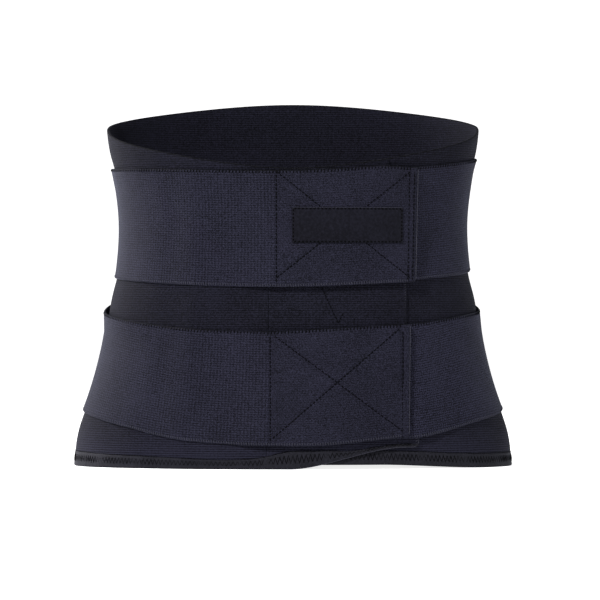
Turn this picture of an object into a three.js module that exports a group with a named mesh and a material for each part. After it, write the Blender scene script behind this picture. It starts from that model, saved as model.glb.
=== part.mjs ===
// Orthopedic lumbar corset, in millimetres: an elastic wrap that closes in front
// under a flap, and two pairs of side straps that hook over each other on it.
// +Z is up, the front faces -Y, and the wearer's right side is at -X.
// Angles go round the upright axis in degrees, 0 at the front, positive towards +X.

import * as THREE from 'three';

// Inside of the wrap
const HEM_WIDTH = 345.6;
const WAIST_WIDTH = 270.2;
const TOP_WIDTH = 293.2;
const HEM_FRONT = 110;
const WAIST_FRONT = 98;
const TOP_FRONT = 103;
const HEM_BACK = 122;
const WAIST_BACK = 92;
const TOP_BACK = 104;
const SQUARENESS = 2.2;

// Upper edge above the hem
const FRONT_HEIGHT = 235;
const SIDE_HEIGHT = 269;
const BACK_HEIGHT = 292;

// Cloth thicknesses, and the room between two layers
const WALL = 2.2;
const STRAP = 1.6;
const STRAP_FOLD = 0.8;
const HOOK_PAD = 1.0;
const LABEL = 1.0;
const GAP = 0.4;

// Hem: a tape folded round the wall's edge, which is pressed thin inside it
const BINDING_HEIGHT = 11.2;
const PRESSED_WALL = 0.8;
const TAPE = 0.5;
const TAPE_GAP = 0.3;

// Front closure
const INNER_END_ANGLE = -38;
const SEAM_ANGLE = -10.5;
const FLAP_ACROSS = 89;
const FLAP_CORNER = 5;
const HEM_RISE = 16.8;
const FLAP_RISE_ANGLE = -2;
const FLAP_RISE_END_ANGLE = 44;
const INNER_HEM_RISE = 3.4;
const INNER_RISE_ANGLE = 70;
const INNER_RISE_END_ANGLE = 33;

// Side straps
const STRAP_WIDTH = 91;
const UPPER_STRAP_HEIGHT = 187.7;
const LOWER_STRAP_HEIGHT = 63;
const ROOT_ANGLE = 154;
const STRAP_TIP_ANGLE = -12;
const UPPER_END_ACROSS = 97.3;
const UPPER_END_SLANT = 2.0;
const LOWER_END_ACROSS = 91.5;
const LOWER_END_SLANT = 1.2;
const UPPER_PATCH_ANGLE = -7.6;
const LOWER_PATCH_ANGLE = -9.5;
const PAD_INSET = 5;
const FOLD_LENGTH = 5;
const OUTER_GAPE = 2.4;
const INNER_GAPE = 0.6;

// Label
const LABEL_WIDTH = 82.6;
const LABEL_HEIGHT = 27.5;
const LABEL_ANGLE = 22.2;
const LABEL_MIDDLE = 190.4;

// Easing of one layer over the end of another, and the facets
const RAMP_ANGLE = 14;
const COLUMN_ANGLE = 5;
const WRAP_ROWS = 13;
const STRAP_ROWS = 5;
const PAD_ROWS = 4;
const LABEL_ROWS = 2;

// How far the wrap has widened from the waist towards its hem and its top,
// by height as a share of SIDE_HEIGHT
const SECTIONS = [
  { height: 0.00, hem: 1.00, top: 0.00 },
  { height: 0.07, hem: 0.95, top: 0.00 },
  { height: 0.12, hem: 0.87, top: 0.00 },
  { height: 0.22, hem: 0.62, top: 0.00 },
  { height: 0.29, hem: 0.47, top: 0.00 },
  { height: 0.37, hem: 0.34, top: 0.00 },
  { height: 0.49, hem: 0.21, top: 0.00 },
  { height: 0.58, hem: 0.06, top: 0.00 },
  { height: 0.72, hem: 0.00, top: 0.00 },
  { height: 0.86, hem: 0.00, top: 0.37 },
  { height: 0.93, hem: 0.00, top: 0.79 },
  { height: 1.00, hem: 0.00, top: 1.00 },
  { height: 1.10, hem: 0.00, top: 1.12 },
];

// The free edge of the flap: how far across it lies as a share of FLAP_ACROSS,
// by height as a share of FRONT_HEIGHT
const FLAP_EDGE = [
  { height: 0.00, across: 1.13 },
  { height: 0.08, across: 1.11 },
  { height: 0.48, across: 1.00 },
  { height: 0.62, across: 1.00 },
  { height: 1.04, across: 0.84 },
];

// The hem's tape on the half that carries the flap: its height as a share of
// BINDING_HEIGHT. It narrows along the rising edge of the flap.
const OUTER_BINDING = [
  { angle: -180, height: 1.00 },
  { angle: -90, height: 1.10 },
  { angle: -63, height: 0.94 },
  { angle: -46, height: 0.81 },
  { angle: -33, height: 0.69 },
  { angle: -21, height: 0.69 },
  { angle: -12, height: 0.85 },
  { angle: 0, height: 1.27 },
  { angle: 12, height: 0.98 },
  { angle: 25, height: 0.39 },
  { angle: 44, height: 0.28 },
];

// The side straps: how far the middle of the strap has risen and how wide it
// is, both as shares of STRAP_WIDTH
const UPPER_OUTER = [
  { angle: -154, rise: 0.130, width: 0.950 },
  { angle: -120, rise: 0.095, width: 0.950 },
  { angle: -90, rise: 0.063, width: 0.955 },
  { angle: -50, rise: 0.021, width: 0.990 },
  { angle: -24, rise: 0.004, width: 1.000 },
  { angle: 0, rise: 0.000, width: 1.000 },
  { angle: 20, rise: 0.015, width: 1.006 },
  { angle: 37, rise: 0.036, width: 1.012 },
  { angle: 49, rise: 0.035, width: 0.985 },
];
const LOWER_OUTER = [
  { angle: -154, rise: 0.460, width: 0.945 },
  { angle: -120, rise: 0.360, width: 0.920 },
  { angle: -90, rise: 0.235, width: 0.870 },
  { angle: -75, rise: 0.181, width: 0.870 },
  { angle: -60, rise: 0.111, width: 0.897 },
  { angle: -45, rise: 0.044, width: 0.948 },
  { angle: -28, rise: 0.014, width: 0.974 },
  { angle: -9, rise: 0.000, width: 0.980 },
  { angle: 13, rise: 0.014, width: 0.997 },
  { angle: 42, rise: 0.066, width: 0.970 },
];
const UPPER_INNER = [
  { angle: -12, rise: 0.000, width: 0.950 },
  { angle: 20, rise: 0.015, width: 0.950 },
  { angle: 53, rise: 0.055, width: 0.973 },
  { angle: 90, rise: 0.137, width: 0.985 },
  { angle: 120, rise: 0.160, width: 0.960 },
  { angle: 154, rise: 0.165, width: 0.950 },
];
const LOWER_INNER = [
  { angle: -12, rise: 0.000, width: 0.930 },
  { angle: 20, rise: 0.025, width: 0.940 },
  { angle: 45, rise: 0.062, width: 0.975 },
  { angle: 54, rise: 0.096, width: 0.950 },
  { angle: 68, rise: 0.168, width: 0.905 },
  { angle: 90, rise: 0.246, width: 0.875 },
  { angle: 120, rise: 0.360, width: 0.920 },
  { angle: 154, rise: 0.460, width: 0.945 },
];

const HALF_TURN = 180;
const FULL_TURN = 360;
const HEM_THICKNESS = PRESSED_WALL + 2 * (TAPE + TAPE_GAP);
const LAYER_LIFT = Math.max(WALL, HEM_THICKNESS) + GAP;

function clamp(value, low, high) {
  return Math.min(Math.max(value, low), high);
}

// Rises smoothly from 0 to 1 as the value goes from start to end
function ease(value, start, end) {
  const share = clamp((value - start) / (end - start), 0, 1);
  return share * share * (3 - 2 * share);
}

// A smooth curve through one column of a table, with each row's slope taken
// from its neighbours
function curve(rows, key, at, column) {
  const last = rows.length - 1;
  const place = clamp(at, rows[0][key], rows[last][key]);
  let row = 0;
  while (row < last - 1 && place > rows[row + 1][key]) row += 1;
  const slope = (index) => {
    const before = rows[Math.max(index - 1, 0)];
    const after = rows[Math.min(index + 1, last)];
    return (after[column] - before[column]) / (after[key] - before[key]);
  };
  const span = rows[row + 1][key] - rows[row][key];
  const share = (place - rows[row][key]) / span;
  const rest = 1 - share;
  return rows[row][column] * (1 + 2 * share) * rest * rest
    + rows[row + 1][column] * (1 + 2 * rest) * share * share
    + span * share * rest * (slope(row) * rest - slope(row + 1) * share);
}

// Half width and depths of the wrap's inside at a height
function section(height) {
  const share = height / SIDE_HEIGHT;
  const hem = curve(SECTIONS, 'height', share, 'hem');
  const top = curve(SECTIONS, 'height', share, 'top');
  const widened = (waist, atHem, atTop) => waist + hem * (atHem - waist) + top * (atTop - waist);
  return {
    side: widened(WAIST_WIDTH, HEM_WIDTH, TOP_WIDTH) / 2,
    front: widened(WAIST_FRONT, HEM_FRONT, TOP_FRONT),
    back: widened(WAIST_BACK, HEM_BACK, TOP_BACK),
  };
}

// The point that lies the given distance outside the wrap's inside face
function skin(angle, height, out) {
  const turn = THREE.MathUtils.degToRad(angle);
  const across = Math.sin(turn);
  const ahead = Math.cos(turn);
  const { side, front, back } = section(height);
  const depth = ahead > 0 ? front : back;
  const sideShare = Math.abs(across) / side;
  const depthShare = Math.abs(ahead) / depth;
  const reach = (sideShare ** SQUARENESS + depthShare ** SQUARENESS) ** (-1 / SQUARENESS);
  const normalX = Math.sign(across) * sideShare ** (SQUARENESS - 1) / side;
  const normalY = -Math.sign(ahead) * depthShare ** (SQUARENESS - 1) / depth;
  const scale = out / Math.hypot(normalX, normalY);
  return new THREE.Vector3(
    reach * across + normalX * scale,
    -reach * ahead + normalY * scale,
    height,
  );
}

// Angles of the columns of a piece: its two ends and every whole step between
function columns(from, to) {
  const margin = COLUMN_ANGLE / 4;
  const angles = [from];
  const first = Math.ceil((from + margin) / COLUMN_ANGLE);
  for (let step = first; step * COLUMN_ANGLE < to - margin; step += 1) {
    angles.push(step * COLUMN_ANGLE);
  }
  angles.push(to);
  return angles;
}

// The angle that an arc of the given length takes at an angle and height
function arcAngle(length, angle, height) {
  const step = 1;
  const chord = skin(angle - step / 2, height, 0).distanceTo(skin(angle + step / 2, height, 0));
  return step * length / chord;
}

// The angle at which a piece that lies out from the wrap reaches a distance across
function angleAcross(across, height, out) {
  let low = 0;
  let high = HALF_TURN / 2;
  while (high - low > 1e-4) {
    const middle = (low + high) / 2;
    if (skin(middle, height, out).x < across) low = middle;
    else high = middle;
  }
  return low;
}

// Joins rings of points into one closed body. Each ring runs out along one
// face and back along the other, so that each end is closed by a strip.
function loft(rings) {
  const size = rings[0].length;
  const positions = rings.flat().flatMap((point) => point.toArray());
  const triangles = [];
  const quad = (a, b, c, d) => triangles.push(a, b, c, a, c, d);
  for (let ring = 0; ring < rings.length - 1; ring += 1) {
    for (let index = 0; index < size; index += 1) {
      const next = (index + 1) % size;
      const here = ring * size;
      const there = here + size;
      quad(here + index, there + index, there + next, here + next);
    }
  }
  const end = (rings.length - 1) * size;
  for (let index = 0; index < size / 2 - 1; index += 1) {
    const facing = size - 1 - index;
    quad(index, index + 1, facing - 1, facing);
    quad(end + facing, end + facing - 1, end + index + 1, end + index);
  }
  const geometry = new THREE.BufferGeometry();
  geometry.setAttribute('position', new THREE.Float32BufferAttribute(positions, 3));
  geometry.setIndex(triangles);
  geometry.computeVertexNormals();
  return geometry;
}

// A wall of cloth that lies on the wrap. heights gives the rows of a column,
// inner and thick place its faces, and shift slides its columns.
function clothWall({ from, to, heights, inner, thick, extra = [], shift = () => 0 }) {
  const angles = [...columns(from, to), ...extra].sort((a, b) => a - b);
  return loft(angles.map((angle) => {
    const face = (out) => heights(angle).map((height, row) => {
      const place = angle + shift(angle, height);
      return skin(place, height, out(place, height, row));
    });
    const outer = (...place) => inner(...place) + thick(...place);
    return [...face(outer), ...face(inner).reverse()];
  }));
}

// Evenly spaced heights from low to high
function evenRows(low, high, rows) {
  return Array.from({ length: rows + 1 }, (_, row) => low + (high - low) * row / rows);
}

// A tape folded round the lower edge of a wall whose inside face is at inner
function foldedTape({ from, to, hem, inner, shift = () => 0 }) {
  const nearFace = (WALL - HEM_THICKNESS) / 2;
  const farFace = (WALL + HEM_THICKNESS) / 2;
  return loft(columns(from, to).map((angle) => {
    const { low, tape } = hem(angle);
    const outline = [
      { out: nearFace, up: tape },
      { out: nearFace, up: 0 },
      { out: farFace, up: 0 },
      { out: farFace, up: tape },
      { out: farFace - TAPE, up: tape },
      { out: farFace - TAPE, up: TAPE },
      { out: nearFace + TAPE, up: TAPE },
      { out: nearFace + TAPE, up: tape },
    ];
    return outline.map(({ out, up }) => {
      const place = angle + shift(angle, low + up);
      return skin(place, low + up, inner(place) + out);
    });
  }));
}

// Height of the upper edge: low in front, rising to the sides and the back
function topEdge(angle) {
  const round = Math.abs(angle > HALF_TURN ? angle - FULL_TURN : angle);
  const quarter = HALF_TURN / 2;
  const risePower = 1.75;
  if (round < quarter) {
    return FRONT_HEIGHT + (SIDE_HEIGHT - FRONT_HEIGHT) * (round / quarter) ** risePower;
  }
  const behind = Math.sin(THREE.MathUtils.degToRad(round - quarter));
  return SIDE_HEIGHT + (BACK_HEIGHT - SIDE_HEIGHT) * behind;
}

// The lower edge and the height of its tape on the half that ends under the flap
function innerHem(angle) {
  const low = INNER_HEM_RISE * ease(-angle, -INNER_RISE_ANGLE, -INNER_RISE_END_ANGLE);
  return { low, tape: BINDING_HEIGHT };
}

// The same on the half that carries the flap
function outerHem(angle) {
  return {
    low: HEM_RISE * ease(angle, FLAP_RISE_ANGLE, FLAP_RISE_END_ANGLE),
    tape: BINDING_HEIGHT * curve(OUTER_BINDING, 'angle', angle, 'height'),
  };
}

// The half that carries the flap climbs over the end of the other half
function outerHalfInner(angle) {
  return LAYER_LIFT * ease(angle, INNER_END_ANGLE - RAMP_ANGLE, INNER_END_ANGLE);
}

// Inside of the straps that lie on the flap first, and drop off its edge
function innerStrapInner(angle) {
  const onFlap = 1 - ease(angle, FLAP_END_ANGLE, FLAP_END_ANGLE + RAMP_ANGLE);
  return LAYER_LIFT * (1 + onFlap);
}

// Inside of the straps that close over them
function outerStrapInner(angle, patchAngle) {
  const onStrap = ease(angle, STRAP_TIP_ANGLE - RAMP_ANGLE, STRAP_TIP_ANGLE);
  const onPad = ease(angle, patchAngle - RAMP_ANGLE, patchAngle);
  return outerHalfInner(angle) + LAYER_LIFT + onStrap * (STRAP + GAP) + onPad * (HOOK_PAD + GAP);
}

// The wrap is one length of cloth, whose angle goes on past a half turn to
// where it lies over its own beginning
function wrapInner(angle) {
  return angle > HALF_TURN ? outerHalfInner(angle - FULL_TURN) : 0;
}

function wrapHem(angle) {
  return angle > HALF_TURN ? outerHem(angle - FULL_TURN) : innerHem(angle);
}

// Rows of the wrap: two on its pressed edge, and the rest on its full wall
function wrapRows({ low, tape }, top) {
  const pressedTop = low + tape + TAPE_GAP;
  const shoulder = (WALL - PRESSED_WALL) / 2;
  return [low + TAPE + TAPE_GAP, pressedTop, ...evenRows(pressedTop + shoulder, top, WRAP_ROWS)];
}

function isPressed(row) {
  return row < 2;
}

function wrapWall({ hem, inner, ...range }) {
  const { shift = () => 0 } = range;
  const top = (angle) => topEdge(angle + shift(angle, topEdge(angle)));
  return clothWall({
    ...range,
    heights: (angle) => wrapRows(hem(angle), top(angle)),
    inner: (angle, height, row) => inner(angle) + (isPressed(row) ? (WALL - PRESSED_WALL) / 2 : 0),
    thick: (angle, height, row) => (isPressed(row) ? PRESSED_WALL : WALL),
  });
}

// Slides the last columns of a piece so that its free end follows an edge
function slideTo(end, edgeAngle) {
  return (angle, height) => {
    const follows = clamp((angle - end / 2) / (end / 2), 0, 1);
    return follows * (edgeAngle(height) - end);
  };
}

function flapEdgeAngle(height) {
  const share = curve(FLAP_EDGE, 'height', height / FRONT_HEIGHT, 'across');
  const depth = clamp((HEM_RISE + FLAP_CORNER - height) / FLAP_CORNER, 0, 1);
  const rounded = FLAP_CORNER * (1 - Math.sqrt(1 - depth * depth));
  return angleAcross(FLAP_ACROSS * share - rounded, height, LAYER_LIFT + WALL);
}

const SEAM_GAP_ANGLE = arcAngle(GAP, SEAM_ANGLE, HEM_RISE);
const WRAP_RANGE = { from: INNER_END_ANGLE, to: FULL_TURN + SEAM_ANGLE - SEAM_GAP_ANGLE };
const FLAP_END_ANGLE = flapEdgeAngle(FRONT_HEIGHT / 2);
const FLAP_RANGE = {
  from: SEAM_ANGLE,
  to: FLAP_END_ANGLE,
  shift: slideTo(FLAP_END_ANGLE, flapEdgeAngle),
};

function corsetBody() {
  return wrapWall({ ...WRAP_RANGE, hem: wrapHem, inner: wrapInner });
}

function bodyHemBinding() {
  return foldedTape({ ...WRAP_RANGE, hem: wrapHem, inner: wrapInner });
}

function closureFlap() {
  return wrapWall({ ...FLAP_RANGE, hem: outerHem, inner: outerHalfInner });
}

function flapHemBinding() {
  return foldedTape({ ...FLAP_RANGE, hem: outerHem, inner: outerHalfInner });
}

// Rows of a strap at an angle, or of what lies inset from its edges
function strapRows({ table, middle }, angle, rows, inset = 0) {
  const centre = middle + STRAP_WIDTH * curve(table, 'angle', angle, 'rise');
  const half = STRAP_WIDTH * curve(table, 'angle', angle, 'width') / 2 - inset;
  return evenRows(centre - half, centre + half, rows);
}

// A strap's upper edge stands away from the body at the sides
function gapeAt(angle, row, gape) {
  const sideways = Math.abs(Math.sin(THREE.MathUtils.degToRad(angle)));
  return row === STRAP_ROWS ? gape * ease(sideways, 0.8, 1) : 0;
}

function outerStrap({ gape, ...course }) {
  const { end, patchAngle } = course;
  const fold = end - arcAngle(FOLD_LENGTH, end, course.middle);
  const step = arcAngle(STRAP_FOLD, end, course.middle);
  return clothWall({
    from: -ROOT_ANGLE,
    to: end,
    heights: (angle) => strapRows(course, angle, STRAP_ROWS),
    inner: (angle, height, row) => outerStrapInner(angle, patchAngle) + gapeAt(angle, row, gape),
    thick: (angle) => STRAP + STRAP_FOLD * ease(angle, fold - step, fold),
    extra: [fold - step, fold],
    shift: slideTo(end, course.endAngle),
  });
}

function innerStrap({ gape, ...course }) {
  return clothWall({
    from: STRAP_TIP_ANGLE,
    to: ROOT_ANGLE,
    heights: (angle) => strapRows(course, angle, STRAP_ROWS),
    inner: (angle, height, row) => innerStrapInner(angle) + gapeAt(angle, row, gape),
    thick: () => STRAP,
  });
}

// The plain hook pad that holds an outer strap to the strap under it
function hookPad(course) {
  const { end, patchAngle } = course;
  return clothWall({
    from: patchAngle,
    to: end - arcAngle(FOLD_LENGTH + PAD_INSET, end, course.middle),
    heights: (angle) => strapRows(course, angle, PAD_ROWS, PAD_INSET),
    inner: (angle) => outerStrapInner(angle, patchAngle) - GAP - HOOK_PAD,
    thick: () => HOOK_PAD,
    shift: slideTo(end, course.endAngle),
  });
}

function labelPatch() {
  const halfAngle = arcAngle(LABEL_WIDTH, LABEL_ANGLE, LABEL_MIDDLE) / 2;
  const half = LABEL_HEIGHT / 2;
  return clothWall({
    from: LABEL_ANGLE - halfAngle,
    to: LABEL_ANGLE + halfAngle,
    heights: () => evenRows(LABEL_MIDDLE - half, LABEL_MIDDLE + half, LABEL_ROWS),
    inner: (angle) => outerStrapInner(angle, UPPER_PATCH_ANGLE) + STRAP + GAP,
    thick: () => LABEL,
  });
}

// Where an outer strap runs and ends, a little further across at its top
function strapCourse(middle, endAcross, slant, patchAngle) {
  const out = 3 * LAYER_LIFT + STRAP + HOOK_PAD;
  const endAngle = (height) => {
    const across = endAcross + slant * (height - middle) / STRAP_WIDTH;
    return angleAcross(across, height, out);
  };
  return { middle, endAngle, end: endAngle(middle), patchAngle };
}

const UPPER = strapCourse(UPPER_STRAP_HEIGHT, UPPER_END_ACROSS, UPPER_END_SLANT, UPPER_PATCH_ANGLE);
const LOWER = strapCourse(LOWER_STRAP_HEIGHT, LOWER_END_ACROSS, LOWER_END_SLANT, LOWER_PATCH_ANGLE);

const FINISHES = {
  elastic: { color: 0x26262f, roughness: 0.85, metalness: 0 },
  ribbed: { color: 0x22222a, roughness: 0.85, metalness: 0 },
  tape: { color: 0x1e1d26, roughness: 0.8, metalness: 0 },
  webbing: { color: 0x2b2b38, roughness: 0.75, metalness: 0 },
  hook: { color: 0x17171c, roughness: 0.95, metalness: 0 },
  label: { color: 0x141418, roughness: 0.45, metalness: 0 },
};

const PIECES = [
  ['corset_body', 'elastic', corsetBody()],
  ['body_hem_binding', 'tape', bodyHemBinding()],
  ['closure_flap', 'ribbed', closureFlap()],
  ['flap_hem_binding', 'tape', flapHemBinding()],
  ['upper_inner_strap', 'webbing', innerStrap({ ...UPPER, table: UPPER_INNER, gape: 0 })],
  ['lower_inner_strap', 'webbing', innerStrap({ ...LOWER, table: LOWER_INNER, gape: INNER_GAPE })],
  ['upper_hook_pad', 'hook', hookPad({ ...UPPER, table: UPPER_OUTER })],
  ['lower_hook_pad', 'hook', hookPad({ ...LOWER, table: LOWER_OUTER })],
  ['upper_outer_strap', 'webbing', outerStrap({ ...UPPER, table: UPPER_OUTER, gape: 0 })],
  ['lower_outer_strap', 'webbing', outerStrap({ ...LOWER, table: LOWER_OUTER, gape: OUTER_GAPE })],
  ['label_patch', 'label', labelPatch()],
];

// The middle of the hem's box lies on the origin
const hemReach = (angle, inner) => Math.abs(skin(angle, 0, inner + (WALL + HEM_THICKNESS) / 2).y);
const frontReach = hemReach(0, outerHalfInner(0));
const backReach = hemReach(HALF_TURN, 0);

const corset = new THREE.Group();
corset.position.y = (frontReach - backReach) / 2;
for (const [name, finish, geometry] of PIECES) {
  const mesh = new THREE.Mesh(geometry, new THREE.MeshStandardMaterial(FINISHES[finish]));
  mesh.name = name;
  corset.add(mesh);
}

export default corset;
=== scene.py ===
"""The looks of an orthopedic lumbar corset: elastic wrap, front flap, hem tapes,
side straps, bare label patch and every row of stitching.

Lengths in the tables and the named sizes are in millimetres, and become metres
where a mesh is made. Angles go round the upright axis in degrees, 0 at the
front (-Y) and positive towards +X. A place on the corset is an angle, a height
and a distance out from the inside of the wrap.
"""

import math

import bpy
import numpy as np
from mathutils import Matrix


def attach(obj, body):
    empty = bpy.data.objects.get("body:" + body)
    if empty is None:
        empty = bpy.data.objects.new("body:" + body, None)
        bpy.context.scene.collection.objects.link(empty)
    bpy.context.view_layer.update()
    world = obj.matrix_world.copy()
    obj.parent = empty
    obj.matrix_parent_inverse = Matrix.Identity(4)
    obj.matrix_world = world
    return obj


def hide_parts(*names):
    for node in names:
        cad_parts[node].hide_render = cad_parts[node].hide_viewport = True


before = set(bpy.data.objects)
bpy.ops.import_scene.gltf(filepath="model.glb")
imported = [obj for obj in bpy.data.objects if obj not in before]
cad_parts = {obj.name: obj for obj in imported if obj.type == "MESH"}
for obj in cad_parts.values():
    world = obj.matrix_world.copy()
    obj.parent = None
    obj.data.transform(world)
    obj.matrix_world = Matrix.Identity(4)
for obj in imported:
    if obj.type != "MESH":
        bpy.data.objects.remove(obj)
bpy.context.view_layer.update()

MM = 0.001
BODY = "root"

# Inside of the wrap
HEM_WIDTH, WAIST_WIDTH, TOP_WIDTH = 345.6, 270.2, 293.2
HEM_FRONT, WAIST_FRONT, TOP_FRONT = 110.0, 98.0, 103.0
HEM_BACK, WAIST_BACK, TOP_BACK = 122.0, 92.0, 104.0
SQUARENESS = 2.2
MIDDLE_Y = -4.6

# Upper edge above the hem
FRONT_HEIGHT, SIDE_HEIGHT, BACK_HEIGHT = 235.0, 269.0, 292.0

# Cloth thicknesses, and the room between two layers
WALL, STRAP, STRAP_FOLD, HOOK_PAD, LABEL = 2.2, 1.6, 0.8, 1.0, 1.0
GAP = 0.4
BUTT = 0.05
TAPE, TAPE_GAP = 0.5, 0.3
PRESSED_WALL = 0.8
HEM_THICKNESS = PRESSED_WALL + 2 * (TAPE + TAPE_GAP)
LAYER_LIFT = max(WALL, HEM_THICKNESS) + GAP
BINDING_HEIGHT = 11.2

# Front closure
INNER_END_ANGLE = -38.0
INNER_HEM_RISE, INNER_RISE_ANGLE, INNER_RISE_END_ANGLE = 3.4, 70.0, 33.0
SEAM_ANGLE = -10.5
FLAP_ACROSS, FLAP_CORNER = 89.0, 5.0
HEM_RISE, FLAP_RISE_ANGLE, FLAP_RISE_END_ANGLE = 16.8, -2.0, 44.0
RAMP_ANGLE = 14.0

# Side straps
STRAP_WIDTH = 91.0
ROOT_ANGLE, STRAP_TIP_ANGLE = 154.0, -12.0
FOLD_LENGTH = 5.0

# Label
LABEL_WIDTH, LABEL_HEIGHT = 82.6, 27.5
LABEL_ANGLE, LABEL_MIDDLE = 22.2, 190.4
LABEL_SEAM, GROOVE_DEPTH, GROOVE_WIDTH = 0.9, 0.22, 0.8

# Loops of thread over the edges of the straps and the flap
LOOP_PITCH, TOP_LOOP_PITCH, LOOP_REACH = 2.0, 2.7, 2.4
ZIGZAG_STEP = 1.7

# How far the straps' edges roll in, and how far their seams draw them in
ROLL_DEPTH, ROLL_WIDTH = 0.25, 2.5
DRAWN_DEPTH, DRAWN_REACH = 0.3, 1.2

# Even stitches of the patches, the flap and the straps' roots
PATCH_STITCH, PATCH_GAP = 2.3, 0.9
ROOT_STITCH, ROOT_GAP = 2.4, 0.8
ROOT_SEAM_START, ROOT_SEAM_END = 2, 12

# Height at which the cloth's map is measured round the wrap and the flap
MAP_HEIGHT = 150


def table(names, *rows):
    """A table with named columns, each as an array."""
    names = names.split()
    return dict(zip(names, np.array(rows, float).reshape(-1, len(names)).T))


# How far the wrap has widened from the waist, by height as a share of SIDE_HEIGHT
SECTIONS = table(
    "height hem top",
    (0.00, 1.00, 0.00), (0.07, 0.95, 0.00), (0.12, 0.87, 0.00), (0.22, 0.62, 0.00),
    (0.29, 0.47, 0.00), (0.37, 0.34, 0.00), (0.49, 0.21, 0.00), (0.58, 0.06, 0.00),
    (0.72, 0.00, 0.00), (0.86, 0.00, 0.37), (0.93, 0.00, 0.79), (1.00, 0.00, 1.00),
    (1.10, 0.00, 1.12),
)

# The flap's free edge across, as a share of FLAP_ACROSS, by share of FRONT_HEIGHT
FLAP_EDGE = table(
    "height across",
    (0.00, 1.13), (0.08, 1.11), (0.48, 1.00), (0.62, 1.00), (1.04, 0.84),
)

# Height of the hem tape on the half that carries the flap, as a share of BINDING_HEIGHT
OUTER_BINDING = table(
    "angle height",
    (-180, 1.00), (-90, 1.10), (-63, 0.94), (-46, 0.81), (-33, 0.69), (-21, 0.69),
    (-12, 0.85), (0, 1.27), (12, 0.98), (25, 0.39), (44, 0.28),
)

# The straps' middle line and width, as shares of STRAP_WIDTH
UPPER_OUTER = table(
    "angle rise width",
    (-154, 0.130, 0.950), (-120, 0.095, 0.950), (-90, 0.063, 0.955), (-50, 0.021, 0.990),
    (-24, 0.004, 1.000), (0, 0.000, 1.000), (20, 0.015, 1.006), (37, 0.036, 1.012),
    (49, 0.035, 0.985),
)
LOWER_OUTER = table(
    "angle rise width",
    (-154, 0.460, 0.945), (-120, 0.360, 0.920), (-90, 0.235, 0.870), (-75, 0.181, 0.870),
    (-60, 0.111, 0.897), (-45, 0.044, 0.948), (-28, 0.014, 0.974), (-9, 0.000, 0.980),
    (13, 0.014, 0.997), (42, 0.066, 0.970),
)
UPPER_INNER = table(
    "angle rise width",
    (-12, 0.000, 0.950), (20, 0.015, 0.950), (53, 0.055, 0.973), (90, 0.137, 0.985),
    (120, 0.160, 0.960), (154, 0.165, 0.950),
)
LOWER_INNER = table(
    "angle rise width",
    (-12, 0.000, 0.930), (20, 0.025, 0.940), (45, 0.062, 0.975), (54, 0.096, 0.950),
    (68, 0.168, 0.905), (90, 0.246, 0.875), (120, 0.360, 0.920), (154, 0.460, 0.945),
)

# Rows of stitches on the outer straps, each from one place across the front and up
# to another: the patch's edge, its two diagonals and the fold's edge
SEAM_NAMES = "across height to_across to_height"
UPPER_SEAMS = table(
    SEAM_NAMES,
    (-12.8, 146.0, -12.8, 230.0), (-12.8, 232.4, 91.0, 149.1), (-12.8, 149.1, 91.0, 232.4),
    (89.0, 147.0, 90.4, 231.0), (92.4, 147.0, 93.8, 231.0),
)
LOWER_SEAMS = table(
    SEAM_NAMES,
    (-17.5, 22.0, -17.5, 104.0), (-14.2, 104.0, 85.6, 29.3), (-15.8, 24.1, 82.7, 109.7),
    (85.2, 24.0, 84.7, 108.0),
)
NO_SEAMS = table(SEAM_NAMES)

# Rows of stitches on the flap, by angle and height
FLAP_SEAMS = table(
    "angle height to_angle to_height",
    (12.6, 142.0, 19.3, 114.0), (21.4, 122.0, 19.3, 114.0),
)


def ease(value, start, end):
    """Rises from 0 to 1 between start and end as s·s·(3 - 2s) of the share s gone."""
    share = np.clip((np.asarray(value, float) - start) / (end - start), 0, 1)
    return share * share * (3 - 2 * share)


def curve(rows, key, at, column):
    """A cubic through a table's column, whose slope at a row is the rise between its
    neighbours over their distance, and which holds its end values outside."""
    keys, values = rows[key], rows[column]
    at = np.clip(at, keys[0], keys[-1])
    before = np.maximum(np.arange(len(keys)) - 1, 0)
    after = np.minimum(np.arange(len(keys)) + 1, len(keys) - 1)
    slopes = (values[after] - values[before]) / (keys[after] - keys[before])
    row = np.clip(np.searchsorted(keys, at, side="right") - 1, 0, len(keys) - 2)
    span = keys[row + 1] - keys[row]
    share = (at - keys[row]) / span
    rest = 1 - share
    return (
        values[row] * (1 + 2 * share) * rest * rest
        + values[row + 1] * (1 + 2 * rest) * share * share
        + span * share * rest * (slopes[row] * rest - slopes[row + 1] * share)
    )


def section(height):
    """Half width, front depth and back depth of the wrap's inside at a height."""
    share = np.asarray(height, float) / SIDE_HEIGHT
    hem = curve(SECTIONS, "height", share, "hem")
    top = curve(SECTIONS, "height", share, "top")

    def widened(waist, at_hem, at_top):
        return waist + hem * (at_hem - waist) + top * (at_top - waist)

    return (
        widened(WAIST_WIDTH, HEM_WIDTH, TOP_WIDTH) / 2,
        widened(WAIST_FRONT, HEM_FRONT, TOP_FRONT),
        widened(WAIST_BACK, HEM_BACK, TOP_BACK),
    )


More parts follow.
